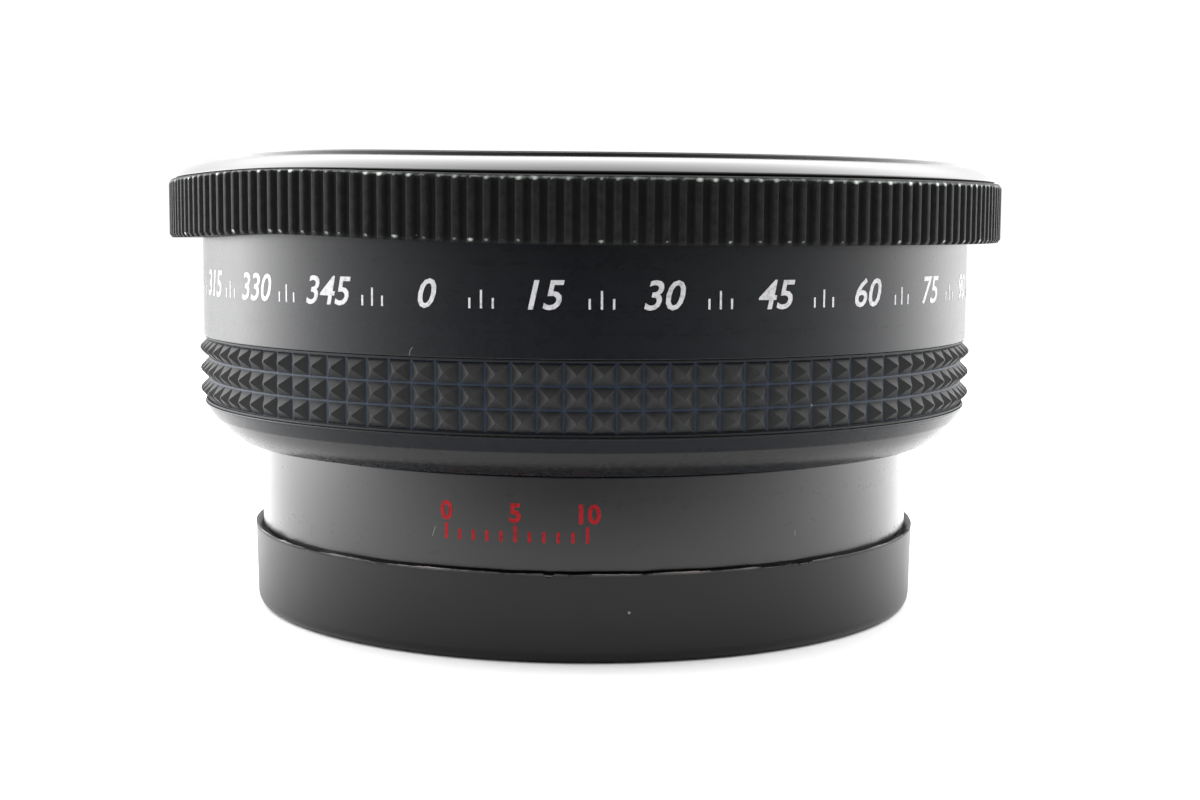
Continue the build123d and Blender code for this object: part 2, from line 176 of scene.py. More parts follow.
class Nodes:
    """A node tree, to which nodes are added one by one."""

    def __init__(self, tree):
        self.tree = tree

    def node(self, kind, settings, *inputs, output=0, **named):
        """Adds one node: its settings first, then its sockets by place or by name, as numbers or links."""
        node = self.tree.nodes.new(kind)
        for setting, value in settings.items():
            setattr(node, setting, value)
        for socket, value in [*enumerate(inputs), *named.items()]:
            self.feed(node.inputs[socket.replace("_", " ") if isinstance(socket, str) else socket], value)
        return Value(self, node.outputs[output])

    def feed(self, socket, value):
        if isinstance(value, Value):
            self.tree.links.new(value.socket, socket)
        else:
            socket.default_value = value

    def parts(self, vector):
        """The x, y and z of a vector."""
        split = self.node("ShaderNodeSeparateXYZ", {}, vector).socket.node
        return [Value(self, split.outputs[axis]) for axis in "XYZ"]

    def ramp(self, value, low, high, start=0.0, end=1.0):
        """start below low, end above high, and a straight change between them."""
        return self.node("ShaderNodeMapRange", {"clamp": True}, value, low, high, start, end)


class Finish(Nodes):
    """A material: its nodes and its Principled shader."""

    def __init__(self, name, **uniform):
        self.material = bpy.data.materials.new(name)
        self.material.use_nodes = True
        super().__init__(self.material.node_tree)
        self.shader = self.tree.nodes["Principled BSDF"]
        for socket, value in uniform.items():
            self.shader.inputs[socket.replace("_", " ")].default_value = value

    def give(self, **varying):
        """Links what changes over the surface to the Principled shader."""
        for socket, value in varying.items():
            self.feed(self.shader.inputs[socket.replace("_", " ")], value)

    def place(self):
        """Object coordinates, in metres."""
        return self.node("ShaderNodeTexCoord", {}, output="Object")

    def attribute(self, name):
        """A value that the mesh holds at each vertex."""
        return self.node("ShaderNodeAttribute", {"attribute_name": name}, output="Fac")

    def noise(self, scale, detail=3.0, roughness=0.5, place=None):
        """Soft noise about 0.5, with scale cells to the metre."""
        return self.node(
            "ShaderNodeTexNoise",
            {},
            Vector=place or self.place(),
            Scale=scale,
            Detail=detail,
            Roughness=roughness,
        )

    def lathe_place(self, along, across):
        """Where a turned surface lies for a turning tool: (radius, height) times across, and x + y times
        along, which changes slowly round it."""
        x, y, z = self.parts(self.place())
        return self.node("ShaderNodeCombineXYZ", {}, self.radius() * across, z * across, (x + y) * along)

    def radius(self):
        """Distance from the axis."""
        x, y, z = self.parts(self.place())
        return (x * x + y * y) ** 0.5

    def spot(self, azimuth, radius, height, size):
        """1 inside a small round spot, size across, at that azimuth from the front in degrees and that
        radius and height in mm."""
        turn = np.radians(azimuth)
        centre = (radius * np.sin(turn) * mm, -radius * np.cos(turn) * mm, height * mm)
        away = self.node(
            "ShaderNodeVectorMath", {"operation": "DISTANCE"}, self.place(), centre, output="Value"
        )
        return self.ramp(away, size * mm * 0.35, size * mm * 0.6, 1.0, 0.0)

    def stroke(self, azimuth, height, length, width, lean=0.0, curl=0.0):
        """1 along a short thin line at that azimuth from the front in degrees and that height in mm. With u
        round the surface and v up it from there, the line is u = lean v + curl v squared."""
        turn = np.radians(azimuth)
        x, y, z = self.parts(self.place())
        along = x * np.cos(turn) + y * np.sin(turn)
        out = x * np.sin(turn) - y * np.cos(turn)
        up = z - height * mm
        off_line = (along - up * lean - up * up * curl).absolute()
        thin = self.ramp(off_line, width * mm * 0.3, width * mm * 0.6, 1.0, 0.0)
        short = self.ramp(up.absolute(), length * mm * 0.4, length * mm * 0.5, 1.0, 0.0)
        return thin * short * self.ramp(out, 0, 0.001)

    def height(self):
        """Height above the table in mm."""
        return self.parts(self.place())[2] / mm

    def blend(self, factor, first, second):
        """The first colour where the factor is 0 and the second where it is 1."""
        return self.node(
            "ShaderNodeMix", {"data_type": "RGBA"}, output=2, Factor=factor, A=first, B=second
        )

    def specks(self, scale, radius, share, seed):
        """1 inside small round specks, on the given share of the cells of a grid of that scale."""
        shift = (seed, seed, seed)
        moved = self.node("ShaderNodeVectorMath", {"operation": "ADD"}, self.place(), shift)
        cells = self.node("ShaderNodeTexVoronoi", {}, Vector=moved, Scale=scale)
        pick = Value(self, cells.socket.node.outputs["Color"])
        chosen = self.node("ShaderNodeSeparateColor", {}, pick)
        near = self.ramp(cells, radius * 0.6, radius, 1.0, 0.0)
        return near * self.ramp(chosen, share, share * 0.98, 0.0, 1.0)

    def bump(self, height, distance, strength=1.0, normal=None):
        """Normal of a surface raised by height times distance in metres, on top of another normal."""
        inputs = {"Height": height, "Distance": distance, "Strength": strength}
        if normal is not None:
            inputs["Normal"] = normal
        return self.node("ShaderNodeBump", {}, **inputs)


def show(mesh, finish, body, *nodes, slot=None):
    """Puts a mesh into the scene under its own name, with a finish, on a body and in place of the CAD nodes
    named."""
    piece = bpy.data.objects.new(mesh.name, mesh)
    bpy.context.collection.objects.link(piece)
    mesh.materials.append(finish.material)
    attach(piece, body)
    if nodes:
        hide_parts(*nodes)
    return piece


cap_base_radius, cap_rim_radius, cap_rim_height = 30.5, 30.675, 7.27
cap_bore_radius, cap_floor = 29.6, 1.6
cap_edge, cap_corner, cap_lip, cap_lead_in = 1.0, 0.6, 0.2, 0.5
cap_outline = eased(
    (0, 0),
    (cap_base_radius, 0, cap_edge),
    (cap_rim_radius, cap_rim_height, 0.06),
    (cap_rim_radius - cap_lip, cap_rim_height - 0.02, 0.03),
    (cap_bore_radius, cap_rim_height - cap_lead_in, 0.05),
    (cap_bore_radius, cap_floor, cap_corner),
    (0, cap_floor),
    closed=False,
)
cap_mesh = turned("rear_cap_moulding", cap_outline, 720)


def reshape(mesh, change):
    """Moves each vertex up by what change gives for its azimuth from the front in degrees and its radius and
    height in mm."""
    places = np.empty(len(mesh.vertices) * 3)
    mesh.vertices.foreach_get("co", places)
    x, y, z = (places.reshape(-1, 3) / mm).T
    azimuth = np.degrees(np.arctan2(x, -y))
    places.reshape(-1, 3)[:, 2] += change(azimuth, np.hypot(x, y), z) * mm
    mesh.vertices.foreach_set("co", places)
    mesh.update()


# Over a few short stretches the rim is torn. Each is an azimuth from the front and a half width in degrees,
# and a depth in mm, which is reached over tear_slope degrees.
tear_slope, torn_band = 0.4, 0.15
torn_stretches = [
    (-4.7, 0.9, 0.22),
    (30.8, 2.6, 0.12),
    (36.0, 2.2, 0.2),
    (-48, 2.2, 0.1),
    (71, 3.0, 0.12),
    (118, 1.6, 0.14),
    (163, 5.2, 0.1),
    (-151, 2.4, 0.15),
    (-96, 3.4, 0.1),
]


def torn(azimuth):
    """How deep the rim is torn at an azimuth."""
    depth = np.zeros_like(azimuth)
    for middle, half_width, deepest in torn_stretches:
        away = np.abs((azimuth - middle + 180) % 360 - 180)
        depth = np.maximum(depth, deepest * np.clip((half_width - away) / tear_slope, 0, 1))
    return depth


def trimmed(azimuth, radius, height):
    """Lowers the rim by the depth that it is torn to."""
    return -torn(azimuth) * (height > cap_rim_height - torn_band)


reshape(cap_mesh, trimmed)
pale_dust = (0.3, 0.29, 0.27, 1)
cap_plastic = Finish("cap_plastic", Specular_IOR_Level=0.1, Coat_Weight=0.38, Coat_Roughness=0.3)
cap_grain = cap_plastic.noise(9000, 2)
cap_haze = cap_plastic.noise(60, 4, 0.6)
cap_dust = cap_plastic.specks(300, 0.05, 0.05, 0.31).maximum(cap_plastic.spot(7.2, 30.6, 4.2, 0.22))
cap_tone = cap_plastic.blend(
    cap_plastic.ramp(cap_haze, 0.35, 0.75), (0.001, 0.001, 0.0011, 1), (0.002, 0.0019, 0.002, 1)
)
cap_plastic.give(
    Base_Color=cap_plastic.blend(cap_dust * 0.7, cap_tone, pale_dust),
    Roughness=cap_plastic.ramp(cap_haze, 0.3, 0.7, 0.4, 0.5),
    Normal=cap_plastic.bump(cap_grain, 0.00002, 0.15),
)
show(cap_mesh, cap_plastic, "rear_cap", "rear_cap", slot="cap_plastic")

# The flash is a thin ragged fin along the rim's outer edge, gone where the rim is torn.
flash_columns = 1800
flash_angle = np.linspace(0, 2 * np.pi, flash_columns, endpoint=False)
hand = np.random.default_rng(11)


def wandering(count, reach):
    """Closed line of random heights about nought, smoothed over reach columns and scaled to spread one."""
    width = np.hanning(reach + 2)
    rough = hand.normal(size=count)
    line = np.real(np.fft.ifft(np.fft.fft(rough) * np.fft.fft(width, count)))
    return line / line.std()


step_columns = 9
flash_steps = np.repeat(wandering(flash_columns // step_columns, 2), step_columns)
flash_ragged = wandering(flash_columns, 3)
flash_wave = wandering(flash_columns, 30)
flash_top = 0.035 + 0.025 * flash_steps + 0.014 * flash_ragged + 0.015 * flash_wave
flash_out = 0.008 * wandering(flash_columns, 5)
flash_torn = torn(np.degrees(flash_angle) + 90)
flash_top = np.clip(flash_top, -0.04, 0.09) - flash_torn
flash_pale = np.clip(0.55 + 0.4 * wandering(flash_columns, 60) + 0.25 * flash_steps, 0, 1)
# Each row of the flash is how far out and up it lies from the rim's edge, and how much it follows the ragged
# line.
flash_rows = [
    (-0.1, -0.2, 0.0),
    (-0.004, -0.2, 0.0),
    (0.003, -0.02, 0.2),
    (0.008, 0.0, 1.0),
    (-0.03, 0.01, 1.0),
    (-0.09, -0.06, 0.3),
]
flash_points = np.stack(
    [
        np.stack(
            [
                (cap_rim_radius + out + lifted * flash_out) * np.cos(flash_angle),
                (cap_rim_radius + out + lifted * flash_out) * np.sin(flash_angle),
                cap_rim_height + up + lifted * flash_top,
            ],
            axis=-1,
        )
        for out, up, lifted in flash_rows
    ]
) * mm
flash_mesh = grid_mesh("cap_rim_flash", flash_points, closed_rows=True)
flash_tips = np.array([lifted for out, up, lifted in flash_rows])[:, None] * flash_pale
flash_mesh.attributes.new("pale", "FLOAT", "POINT").data.foreach_set("value", flash_tips.ravel())
flash_plastic = Finish("flash_plastic", Roughness=0.6)
flash_patch = flash_plastic.noise(320, 4, 0.7)
flash_plastic.give(
    Base_Color=flash_plastic.blend(
        flash_plastic.ramp(flash_patch, 0.34, 0.56) * flash_plastic.attribute("pale"),
        (0.004, 0.0038, 0.004, 1),
        (0.27, 0.25, 0.238, 1),
    ),
    Normal=flash_plastic.bump(flash_patch, 0.00003, 0.5),
)
show(flash_mesh, flash_plastic, "rear_cap", slot="cap_plastic")


# Macro section
# A tube turned from aluminium bar, anodised grey-black, with fine tool rings left on its visible band.
# The thread behind its shoulder goes into the camera lens, and the front one into the wide section.
def anodised(
    name, dark, light, roughness, rings, dust_share=0.1, gloss=0.5, coat=0.0, grain=0.2, worn=None, **uniform
):
    """Dyed anodising on turned aluminium: fine rings from the tool, a mottled dye and a little dust. Where
    worn names an attribute of the mesh, the metal is bare where that is high, the lands are painted lighter
    than the groove floors as painted shade in the grooves, and what the attribute named cut marks is duller,
    with no coat."""
    finish = Finish(name, Specular_IOR_Level=gloss, Coat_Weight=coat, Coat_Roughness=roughness, **uniform)
    tool = finish.noise(1.0, 2, 0.6, place=finish.lathe_place(12, 3600))
    broad = finish.noise(1.0, 3, 0.6, place=finish.lathe_place(18, 500))
    mottle = finish.noise(900, 4, 0.6)
    dust = finish.specks(520, 0.06, dust_share, 0.17)
    dye = finish.blend(finish.ramp(mottle * 0.5 + broad * 0.5, 0.36, 0.66), dark, light)
    dull = finish.ramp(broad * 0.6 + mottle * 0.4, 0.35, 0.65, roughness - 0.03, roughness + 0.04)
    dyed = finish.blend(dust * 0.8, dye, (0.4, 0.39, 0.36, 1))
    if worn is not None:
        rubbed = finish.noise(1400, 4, 0.65)
        bare = finish.ramp(finish.attribute(worn) + (rubbed - 0.5) * 0.55, 0.46, 1.0)
        # Painted shade: out near the full radius the lands get a lighter tone than the groove floors, which
        # stands in for the shade down in the grooves.
        on_land = finish.ramp(finish.radius() / mm, knurl_radius - 0.3, knurl_radius - 0.05)
        land = finish.blend(
            finish.ramp(rubbed, 0.35, 0.65), (0.0105, 0.0108, 0.0112, 1), (0.0185, 0.0188, 0.0195, 1)
        )
        dyed = finish.blend(on_land, dyed, land)
        dyed = finish.blend(bare, dyed, (0.6, 0.65, 0.6, 1))
        dull = dull + finish.attribute("cut") * 0.2
        finish.give(Metallic=bare * 0.5, Coat_Weight=(1 - finish.attribute("cut")) * coat)
    finish.give(
        Base_Color=dyed,
        Roughness=dull,
        Normal=finish.bump(tool, 0.00001, rings, finish.bump(mottle, 0.000005, grain)),
    )
    finish.dyed = dyed
    return finish


macro_radius, macro_foot, macro_top = 30.0, 7.35, 14.95
rear_land_radius, rear_thread_radius, thread_depth = 29.55, 29.0, 0.42
rear_thread_low, rear_thread_high = 3.3, 6.2
macro_bore_radius, macro_ledge_radius, macro_ledge_height = 24.1, 22.7, 13.0
joint_radius, joint_bore_radius, joint_top = 27.95, 26.2, 18.3
macro_outline = eased(
    (macro_bore_radius, rear_thread_low, 0.15),
    (rear_thread_radius - thread_depth, rear_thread_low, 0.25),
    (rear_thread_radius - thread_depth, rear_thread_high, 0.1),
    (rear_land_radius, rear_thread_high, 0.1),
    (rear_land_radius, macro_foot, 0.05),
    (macro_radius, macro_foot, 0.04),
    (macro_radius, macro_top, 0.12),
    (joint_radius - thread_depth, macro_top, 0.1),
    (joint_radius - thread_depth, joint_top, 0.25),
    (joint_bore_radius, joint_top, 0.15),
    (joint_bore_radius, macro_top, 0.1),
    (macro_ledge_radius, macro_ledge_height + 0.6, 0.1),
    (macro_ledge_radius, macro_ledge_height, 0.05),
    (macro_bore_radius, macro_ledge_height, 0.05),
)
grey_black_anodised = anodised(
    "grey_black_anodised",
    (0.0014, 0.0011, 0.002, 1),
    (0.0034, 0.0029, 0.0042, 1),
    roughness=0.29,
    rings=0.12,
    dust_share=0.04,
    gloss=0.1,
    coat=0.85,
    grain=0.12,
)
scratch_grey = (0.3, 0.3, 0.3, 1)
hairlines = grey_black_anodised.stroke(-23.2, 10.15, 0.9, 0.06, 0.35, 120.0).maximum(
    grey_black_anodised.stroke(35.59, 9.63, 0.6, 0.05, -0.1)
)
grey_black_anodised.give(
    Base_Color=grey_black_anodised.blend(hairlines * 0.5, grey_black_anodised.dyed, scratch_grey)
)
macro_mesh = turned("macro_tube", macro_outline)
show(macro_mesh, grey_black_anodised, "macro_section", "macro_barrel", slot="grey_black_anodised")


def thread(name, radius, depth, low, high, inward=False, pitch=0.75, columns=180):
    """A screw thread: across one pitch the height above the root is a V with a flat crest, carried along the
    helix z = low + pitch a / 2 pi, and fading out over the first and last half turn."""
    turns, sunk = (high - low) / pitch - 1, 0.02
    angle = np.linspace(0, 2 * np.pi * turns, int(columns * turns))
    across = np.linspace(-0.5, 0.5, 9)
    crest = np.clip(1.15 - 2.3 * np.abs(across), 0, 1)
    fade = np.clip(np.minimum(angle, angle[-1] - angle) / np.pi, 0, 1)
    lift = crest[:, None] * fade[None, :] * depth - sunk
    r = (radius + depth - lift if inward else radius - depth + lift) * mm
    z = (low + pitch * (angle / (2 * np.pi) + 0.5)[None, :] + pitch * across[:, None]) * mm
    points = np.stack([r * np.cos(angle), r * np.sin(angle), z], axis=-1)
    if inward:
        points = points[::-1]
    rows, along = points.shape[:2]
    index = np.arange(rows * along).reshape(rows, along)
    quads = np.stack([index[:-1, :-1], index[:-1, 1:], index[1:, 1:], index[1:, :-1]], axis=-1)
    mesh = bpy.data.meshes.new(name)
    mesh.from_pydata(points.reshape(-1, 3).tolist(), [], quads.reshape(-1, 4).tolist())
    mesh.polygons.foreach_set("use_smooth", np.ones(len(mesh.polygons), bool))
    return mesh


rear_thread = thread(
    "rear_thread_turns", rear_thread_radius, thread_depth, rear_thread_low, rear_thread_high
)
show(rear_thread, grey_black_anodised, "macro_section", slot="grey_black_anodised")
joint_thread = thread("joint_thread_turns", joint_radius, thread_depth, macro_top + 0.1, joint_top)
show(joint_thread, grey_black_anodised, "macro_section", slot="grey_black_anodised")


# Macro lens
# A plano-convex close-up glass, coated, with its edge blackened, held by a washer and a slotted ring.
coated_glass = Finish(
    "coated_glass",
    Base_Color=(0.86, 0.9, 0.87, 1),
    Roughness=0.0,
    Transmission_Weight=1.0,
    IOR=1.25,
    Specular_IOR_Level=0.05,
    Specular_Tint=(0.75, 0.9, 0.8, 1),
)
smear = coated_glass.noise(220, 4, 0.6)
coated_glass.give(Roughness=coated_glass.ramp(smear, 0.45, 0.8, 0.0, 0.06))


def dome(rim_radius, depth, vertex, count=40):
    """Points (radius, height) of a spherical cap from its vertex out to its rim, falling by depth: its sphere
    has the radius (rim_radius^2 + depth^2) / (2 depth)."""
    curve = (rim_radius**2 + depth**2) / (2 * depth)
    radius = np.linspace(0, rim_radius, count)
    return np.stack([radius, vertex - curve + np.sqrt(curve**2 - radius**2)], axis=-1)


macro_lens_rear, macro_lens_front, macro_lens_radius = 7.2, 12.7, 24.0
macro_dome_radius, macro_dome_depth = 22.5, 4.4
macro_glass = np.vstack(
    [
        [(0, macro_lens_rear)],
        eased(
            (0, macro_lens_rear),
            (macro_lens_radius, macro_lens_rear, 0.25),
            (macro_lens_radius, macro_lens_front, 0.2),
            (macro_dome_radius, macro_lens_front),
            closed=False,
        )[1:-1],
        dome(macro_dome_radius, macro_dome_depth, macro_lens_front + macro_dome_depth)[::-1],
    ]
)
macro_glass_mesh = turned("macro_glass", macro_glass, 180)
show(macro_glass_mesh, coated_glass, "macro_section", "macro_lens", slot="coated_glass")

washer_plastic = Finish("washer_plastic", Roughness=0.45)
washer_tone = washer_plastic.noise(700, 3)
washer_plastic.give(
    Base_Color=washer_plastic.blend(washer_tone, (0.012, 0.012, 0.013, 1), (0.03, 0.03, 0.032, 1)),
    Normal=washer_plastic.bump(washer_tone, 0.00002, 0.3),
)


def refinish(finish, *nodes):
    """Gives CAD nodes that keep their own shape a finish."""
    for node in nodes:
        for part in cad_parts[node].material_slots:
            part.material = finish.material


black_anodised = anodised(
    "black_anodised",
    (0.003, 0.003, 0.0035, 1),
    (0.006, 0.006, 0.0065, 1),
    roughness=0.36,
    rings=0.25,
    dust_share=0.03,
)
refinish(washer_plastic, "macro_lens_washer", "second_lens_washer", "section_washer")
refinish(black_anodised, "macro_retaining_ring", "second_retaining_ring")


# Barrel of the wide section
# One shell turned from aluminium tube and anodised satin blue-black, with a rounded double bevel at its foot.
# The bevels are plain; the smooth band carries a white printed scale of plain numbers.
barrel_radius, knurl_radius = 35.1, 38.0
barrel_foot, grip_low, grip_high, knurl_low = 15.25, 18.6, 24.55, 33.2
bevel_foot_radius, bevel_break_radius, bevel_break_height, bevel_bow = 32.0, 34.3, 17.33, 0.22
joint_bore, lens_bore, cell_seat = 28.0, 31.0, 20.3
grip_seat, neck_radius, neck_bore = 34.1, 34.3, 32.3
neck_foot, neck_top, neck_step = knurl_low + 0.8, 36.0, 32.22


def bowed(start, end, bow, count=9):
    """Points of a shallow arc from start to end that stands out to the right by bow at its middle."""
    start, end = np.array(start, float), np.array(end, float)
    run = end - start
    side = np.array([run[1], -run[0]]) / np.linalg.norm(run)
    t = np.linspace(0, 1, count)[:, None]
    return start + run * t + side * bow * 4 * t * (1 - t)


bevel_underside = bowed(
    (bevel_foot_radius, barrel_foot), (bevel_break_radius, bevel_break_height), bevel_bow
)
barrel_outline = np.vstack(
    [
        bevel_underside,
        eased(
            (bevel_break_radius, bevel_break_height),
            (bevel_break_radius + 0.02, bevel_break_height + 0.03, 0.02),
            (barrel_radius, grip_low - 0.15, 0.3),
            (barrel_radius, grip_low, 0.04),
            (grip_seat, grip_low, 0.05),
            (grip_seat, grip_high, 0.05),
            (barrel_radius, grip_high, 0.06),
            (barrel_radius, neck_foot, 0.06),
            (neck_radius, neck_foot, 0.05),
            (neck_radius, neck_top, 0.2),
            (neck_bore, neck_top, 0.2),
            (neck_bore, neck_step, 0.05),
            (lens_bore, neck_step, 0.05),
            (lens_bore, cell_seat, 0.05),
            (joint_bore + thread_depth, cell_seat, 0.1),
            (joint_bore + thread_depth, barrel_foot, 0.2),
            (bevel_foot_radius, barrel_foot),
            closed=False,
        )[1:-1],
    ]
)
blue_black_anodised = anodised(
    "blue_black_anodised",
    (0.0055, 0.0064, 0.0083, 1),
    (0.0085, 0.0095, 0.0118, 1),
    roughness=0.28,
    rings=0.12,
    dust_share=0.02,
    gloss=0.1,
    coat=0.35,
    grain=0.1,
)
barrel_height = blue_black_anodised.height()
above_break = blue_black_anodised.ramp(
    barrel_height, bevel_break_height - 0.06, bevel_break_height + 0.06
)
above_bevel = blue_black_anodised.ramp(barrel_height, grip_low - 0.2, grip_low)
above_foot = blue_black_anodised.ramp(barrel_height, barrel_foot + 0.15, barrel_foot + 0.9)
# Painted reflection: from just above the foot up to the break, the lower bevel is marked out for a lighter
# colour.
lower_bevel_painted_light = above_foot * (1 - above_break)
lint = blue_black_anodised.stroke(-22.0, 24.95, 0.7, 0.07, 0.4, 900.0)
# Painted reflection: the lower bevel's base colour is a lighter, greyer tone that stands in for the lit table
# it faces.
blue_black_anodised.give(
    Base_Color=blue_black_anodised.blend(
        lint * 0.5,
        blue_black_anodised.blend(lower_bevel_painted_light, blue_black_anodised.dyed, (0.0115, 0.0114, 0.0113, 1)),
        scratch_grey,
    ),
    Coat_Weight=above_bevel * 0.35 + lower_bevel_painted_light * 0.35,
)
barrel_mesh = turned("wide_shell", barrel_outline)
show(barrel_mesh, blue_black_anodised, "wide_section", "wide_barrel", slot="blue_black_anodised")
inner_joint = thread(
    "inner_joint_turns", joint_bore, thread_depth, barrel_foot + 0.2, cell_seat - 0.3, inward=True
)
show(inner_joint, blue_black_anodised, "wide_section", slot="blue_black_anodised")


# Printed scale
# Pad-printed in white round the smooth band: plain numbers in degrees with fine marks between them.
# A short red scale with an index is printed on the macro section.
ink_half_thickness, ink_stand = 0.006, 0.008


def printed(label, size, slant=0.0, weight=0.012):
    """Flat lettering: its vertex places (x along, y up, z out) in mm, centred on x, and its triangles."""
    words = bpy.data.curves.new("lettering", "FONT")
    words.body = label
    words.size = size
    words.shear = slant
    words.offset = weight * size
    words.extrude = ink_half_thickness
    words.resolution_u = 3
    words.align_x = "CENTER"
    sheet = bpy.data.objects.new("lettering", words)
    bpy.context.collection.objects.link(sheet)
    flat = bpy.data.meshes.new_from_object(sheet.evaluated_get(bpy.context.evaluated_depsgraph_get()))
    bpy.data.objects.remove(sheet)
    flat.calc_loop_triangles()
    places = np.empty(len(flat.vertices) * 3)
    triangles = np.empty(len(flat.loop_triangles) * 3, int)
    flat.vertices.foreach_get("co", places)
    flat.loop_triangles.foreach_get("vertices", triangles)
    bpy.data.meshes.remove(flat)
    return places.reshape(-1, 3), triangles.reshape(-1, 3)


def bar(width, height):
    """A thin printed bar as the box from (-width / 2, 0) to (width / 2, height)."""
    thickness = [-ink_half_thickness, ink_half_thickness]
    x, y, z = np.meshgrid([-width / 2, width / 2], [0, height], thickness, indexing="ij")
    places = np.stack([x, y, z], axis=-1).reshape(-1, 3)
    quads = np.array([[0, 1, 3, 2], [4, 6, 7, 5], [0, 4, 5, 1], [2, 3, 7, 6], [0, 2, 6, 4], [1, 5, 7, 3]])
    return places, np.vstack([quads[:, [0, 1, 2]], quads[:, [0, 2, 3]]])


def wrapped(name, marks, radius):
    """Lays flat prints round a cylinder: x runs along the arc from the mark's azimuth in degrees, y up from
    its height and z out from the surface."""
    places, triangles, count = [], [], 0
    for (flat, faces), azimuth, height in marks:
        angle = np.radians(azimuth - 90) + flat[:, 0] / radius
        out = radius + ink_stand + flat[:, 2]
        places.append(np.stack([out * np.cos(angle), out * np.sin(angle), height + flat[:, 1]], axis=-1) * mm)
        triangles.append(faces + count)
        count += len(flat)
    mesh = bpy.data.meshes.new(name)
    mesh.from_pydata(np.vstack(places).tolist(), [], np.vstack(triangles).tolist())
    return mesh


def ink(name, thin, thick):
    """Printing ink, a little patchy over the metal's grain."""
    finish = Finish(name, Roughness=0.5, Specular_IOR_Level=0.15)
    cover = finish.noise(2600, 3, 0.6)
    finish.give(
        Base_Color=finish.blend(finish.ramp(cover, 0.3, 0.5), thin, thick),
        Normal=finish.bump(cover, 0.00001, 0.4),
    )
    return finish


scale_step, scale_foot, scale_size, scale_turn = 15, 28.35, 3.15, -20
scale_marks = [
    (printed(str(degrees), scale_size, 0.22), degrees + scale_turn, scale_foot)
    for degrees in range(0, 360, scale_step)
]
fine_mark, middle_mark = bar(0.17, 0.8), bar(0.17, 1.4)
for degrees in np.arange(0, 360, scale_step):
    for past, mark in ((6, fine_mark), (7.5, middle_mark), (9, fine_mark)):
        scale_marks.append((mark, degrees + past + scale_turn, scale_foot))
white_ink = ink("white_ink", (0.42, 0.41, 0.43, 1), (0.62, 0.61, 0.63, 1))
scale_mesh = wrapped("scale_print", scale_marks, barrel_radius)
show(scale_mesh, white_ink, "wide_section")

index_azimuth, index_foot, index_step, index_size, index_rise = -10.0, 9.65, 2.2, 2.1, 1.6
index_marks = [
    (
        printed(str(tenth), index_size, weight=0.03),
        index_azimuth + (tenth - 5) * index_step,
        index_foot + index_rise,
    )
    for tenth in (0, 5, 10)
]
index_marks += [
    (bar(0.26, 1.3 if tenth % 5 == 0 else 0.85), index_azimuth + (tenth - 5) * index_step, index_foot)
    for tenth in range(11)
]
red_ink = ink("red_ink", (0.14, 0.004, 0.007, 1), (0.3, 0.006, 0.01, 1))
index_mesh = wrapped("index_print", index_marks, macro_radius)
show(index_mesh, red_ink, "macro_section")


# Rubber grip
# A moulded black rubber sleeve stretched into its seat: three rows of four-sided pyramids between flat
# grooves, with a plain border above and below.
grip_columns, grip_rows, grip_border = 108, 3, 0.22
grip_tip, grip_valley, grip_groove, grip_flat, grip_turn = 35.46, 34.72, 0.04, 0.08, 0.35
row_height = (grip_high - grip_low - 2 * grip_border) / grip_rows
cell_cuts = np.array([0, grip_groove, 0.5 - grip_flat / 2, 0.5 + grip_flat / 2, 1 - grip_groove])
around = (np.arange(grip_columns)[:, None] + cell_cuts[None, :]).ravel()
upward = np.append((np.arange(grip_rows)[:, None] + cell_cuts[None, :]).ravel(), grip_rows)


def pyramid(u, v):
    """Height of the pyramids: in each cell of one by one it is nought in the groove along the edges, rises
    with the distance from the nearest edge, (1 - 2 groove - side) / (1 - 2 groove - flat), and is one at a
    small flat tip."""
    side = np.maximum(np.abs(2 * (u % 1) - 1), np.abs(2 * (v % 1) - 1))
    return np.clip((1 - 2 * grip_groove - side) / (1 - 2 * grip_groove - grip_flat), 0, 1)


column_angle = 2 * np.pi * (around + grip_turn) / grip_columns
row_place = grip_low + grip_border + upward * row_height
hair = 1e-9  # lands each cut on the later side of its cell
lift = pyramid(around[None, :] + hair, upward[:, None] + hair)
radius_grid = grip_valley + (grip_tip - grip_valley) * lift
height_grid = np.repeat(row_place[:, None], len(around), axis=1)
border_radius, border_gap = barrel_radius - 0.1, 0.02
lower_border = np.array(
    [
        (grip_seat + 0.03, grip_low + border_gap),
        (border_radius - 0.04, grip_low + border_gap),
        (border_radius, grip_low + border_gap + 0.04),
        (border_radius, grip_low + grip_border - 0.05),
        (border_radius - 0.02, grip_low + grip_border),
    ]
)
upper_border = lower_border[::-1] * (1, -1) + (0, grip_low + grip_high)
radius_grid = np.vstack(
    [
        np.repeat(lower_border[:, :1], len(around), 1),
        radius_grid,
        np.repeat(upper_border[:, :1], len(around), 1),
    ]
)
height_grid = np.vstack(
    [
        np.repeat(lower_border[:, 1:], len(around), 1),
        height_grid,
        np.repeat(upper_border[:, 1:], len(around), 1),
    ]
)
grip_points = np.stack(
    [radius_grid * np.cos(column_angle), radius_grid * np.sin(column_angle), height_grid], axis=-1
) * mm
grip_mesh = grid_mesh("grip_sleeve", grip_points, closed_rows=True, smooth=False, ridges=radius_grid)
grip_rubber = Finish("grip_rubber", Roughness=0.55, Specular_IOR_Level=0.3)
rubber_grain = grip_rubber.noise(5000, 3)
rubber_bloom = grip_rubber.noise(260, 4, 0.6)
rubber_dust = grip_rubber.specks(500, 0.05, 0.04, 0.53)
rubber_groove = grip_rubber.ramp(
    grip_rubber.radius(), (grip_valley + 0.015) * mm, (grip_valley + 0.06) * mm, 1.0, 0.0
)
